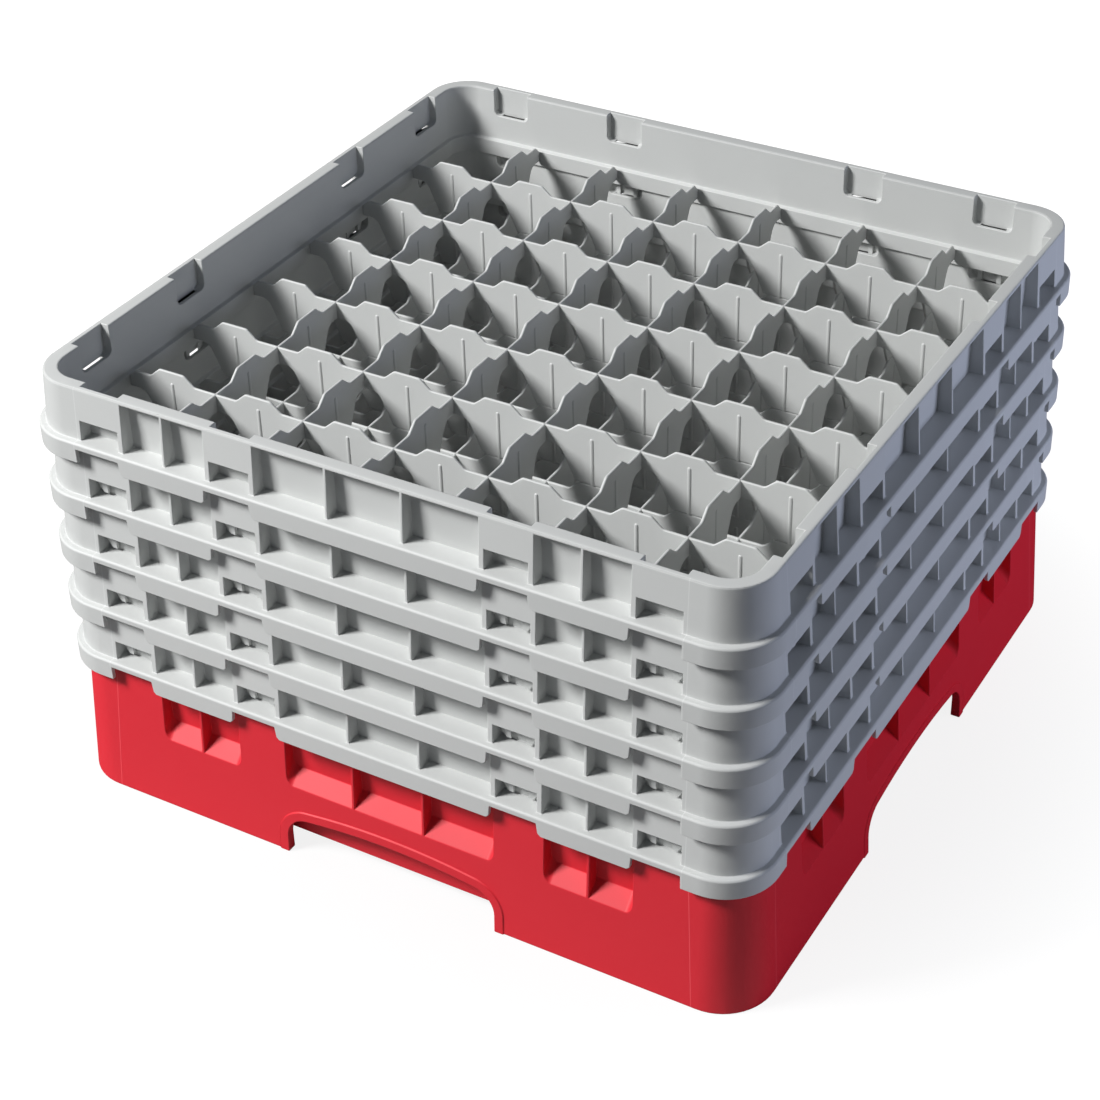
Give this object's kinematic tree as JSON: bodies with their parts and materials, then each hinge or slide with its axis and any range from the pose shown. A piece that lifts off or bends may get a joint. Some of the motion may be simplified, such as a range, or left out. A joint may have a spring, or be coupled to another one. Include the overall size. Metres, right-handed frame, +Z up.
{
  "type": "dishwasher glass rack",
  "caption": "Square open dishwasher rack for tall glasses: a base with hand-holds and a floor grid, and stacked extenders with wavy compartment dividers.",
  "frame": {"origin": "centre of the base's footprint, on the ground", "axes": "+Z up, X and Y along the rack's sides"},
  "size_m": [0.5008, 0.5008, 0.3065],
  "materials": {
    "red_plastic": "moulded polypropylene, satin",
    "grey_plastic": "moulded polypropylene, satin"
  },
  "bodies": {
    "base": {"base_walls": "red_plastic", "base_floor": "red_plastic", "base_long_dividers": "red_plastic", "base_cross_dividers": "red_plastic"},
    "extender_1": {"extender_1_frame": "grey_plastic", "extender_1_long_dividers": "grey_plastic", "extender_1_cross_dividers": "grey_plastic", "extender_1_snaps": "grey_plastic"},
    "extender_2": {"extender_2_frame": "grey_plastic", "extender_2_long_dividers": "grey_plastic", "extender_2_cross_dividers": "grey_plastic", "extender_2_snaps": "grey_plastic"},
    "extender_3": {"extender_3_frame": "grey_plastic", "extender_3_long_dividers": "grey_plastic", "extender_3_cross_dividers": "grey_plastic", "extender_3_snaps": "grey_plastic"},
    "extender_4": {"extender_4_frame": "grey_plastic", "extender_4_long_dividers": "grey_plastic", "extender_4_cross_dividers": "grey_plastic", "extender_4_snaps": "grey_plastic"},
    "extender_5": {"extender_5_frame": "grey_plastic", "extender_5_long_dividers": "grey_plastic", "extender_5_cross_dividers": "grey_plastic", "extender_5_snaps": "grey_plastic"}
  },
  "joints": [
    {"name": "lift_1", "type": "slide", "parent": "base", "child": "extender_1", "axis": [0, 0, 1], "range_m": [0, 0.06], "deforming": ["extender_1_snaps"]},
    {"name": "lift_2", "type": "slide", "parent": "extender_1", "child": "extender_2", "axis": [0, 0, 1], "range_m": [0, 0.06], "deforming": ["extender_2_snaps"]},
    {"name": "lift_3", "type": "slide", "parent": "extender_2", "child": "extender_3", "axis": [0, 0, 1], "range_m": [0, 0.06], "deforming": ["extender_3_snaps"]},
    {"name": "lift_4", "type": "slide", "parent": "extender_3", "child": "extender_4", "axis": [0, 0, 1], "range_m": [0, 0.06], "deforming": ["extender_4_snaps"]},
    {"name": "lift_5", "type": "slide", "parent": "extender_4", "child": "extender_5", "axis": [0, 0, 1], "range_m": [0, 0.06], "deforming": ["extender_5_snaps"]}
  ]
}
